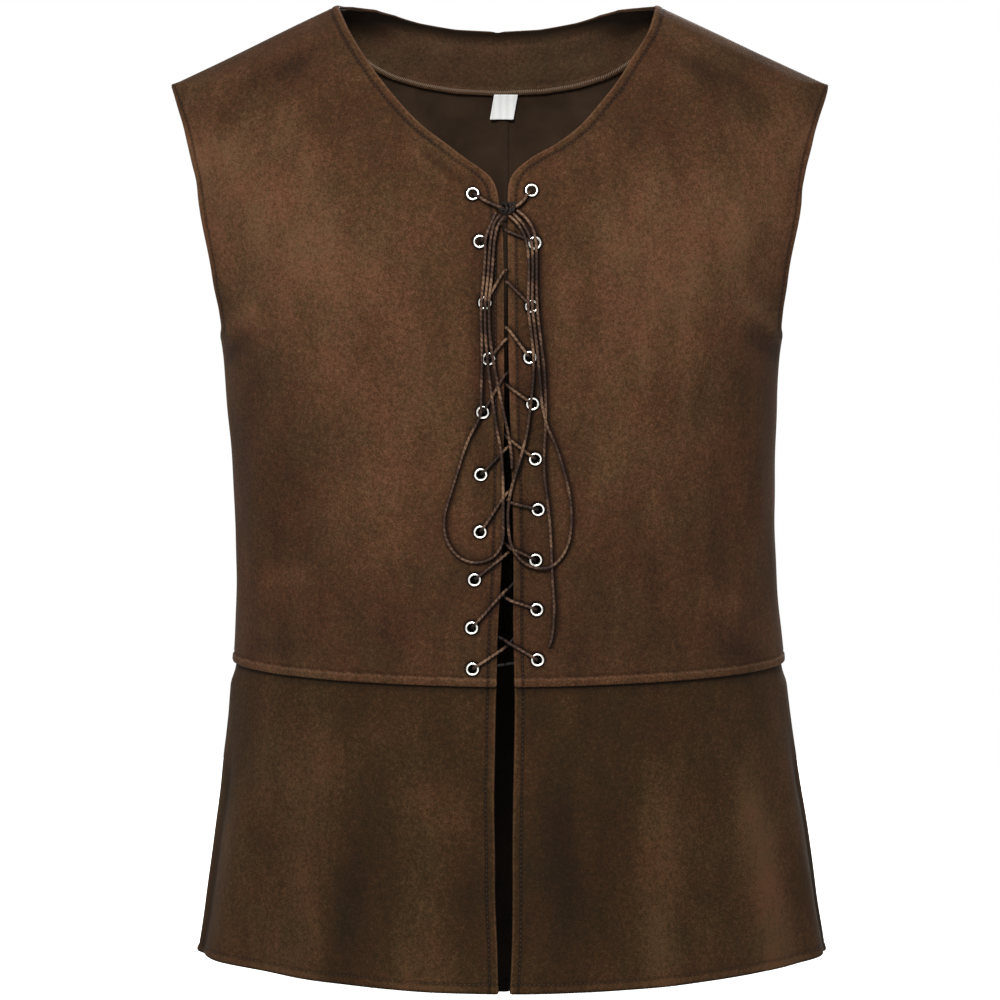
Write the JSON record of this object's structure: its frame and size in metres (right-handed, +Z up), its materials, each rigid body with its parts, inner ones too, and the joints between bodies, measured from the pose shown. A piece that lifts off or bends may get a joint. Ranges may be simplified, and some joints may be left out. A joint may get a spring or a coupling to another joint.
{
  "type": "lace-up suede vest",
  "caption": "Sleeveless brown suede vest held in its worn, filled-out form, laced up the front through metal eyelets, with a flared skirt below a lapped waist seam.",
  "frame": {"origin": "midway between the two points where the shoulder seams meet the neckline, where the wearer's shoulders carry the vest", "axes": "+Z up, the front faces -Y, +X towards the wearer's left"},
  "size_m": [0.4843, 0.2787, 0.7663],
  "materials": {
    "suede": "brushed brown faux suede with a mottled, slightly worn nap",
    "facing": "the same suede, darker in the hollow",
    "label": "smooth white satin ribbon, left bare",
    "eyelet_metal": "polished nickel plate",
    "lace": "thin round suede-covered cord"
  },
  "bodies": {
    "root": {"front_right": "suede", "front_left": "suede", "back_right": "suede", "back_left": "suede", "skirt_front_right": "suede", "skirt_front_left": "suede", "skirt_back": "suede", "neck_facing": "facing", "care_label": "label", "eyelet_right_01": "eyelet_metal", "eyelet_right_02": "eyelet_metal", "eyelet_right_03": "eyelet_metal", "eyelet_right_04": "eyelet_metal", "eyelet_right_05": "eyelet_metal", "eyelet_right_06": "eyelet_metal", "eyelet_right_07": "eyelet_metal", "eyelet_right_08": "eyelet_metal", "eyelet_right_09": "eyelet_metal", "eyelet_right_10": "eyelet_metal", "eyelet_left_01": "eyelet_metal", "eyelet_left_02": "eyelet_metal", "eyelet_left_03": "eyelet_metal", "eyelet_left_04": "eyelet_metal", "eyelet_left_05": "eyelet_metal", "eyelet_left_06": "eyelet_metal", "eyelet_left_07": "eyelet_metal", "eyelet_left_08": "eyelet_metal", "eyelet_left_09": "eyelet_metal", "eyelet_left_10": "eyelet_metal", "lacing_from_right": "lace", "lacing_from_left": "lace", "knot": "lace", "loop_right": "lace", "loop_left": "lace", "lace_end_right": "lace", "lace_end_left": "lace"}
  },
  "joints": []
}
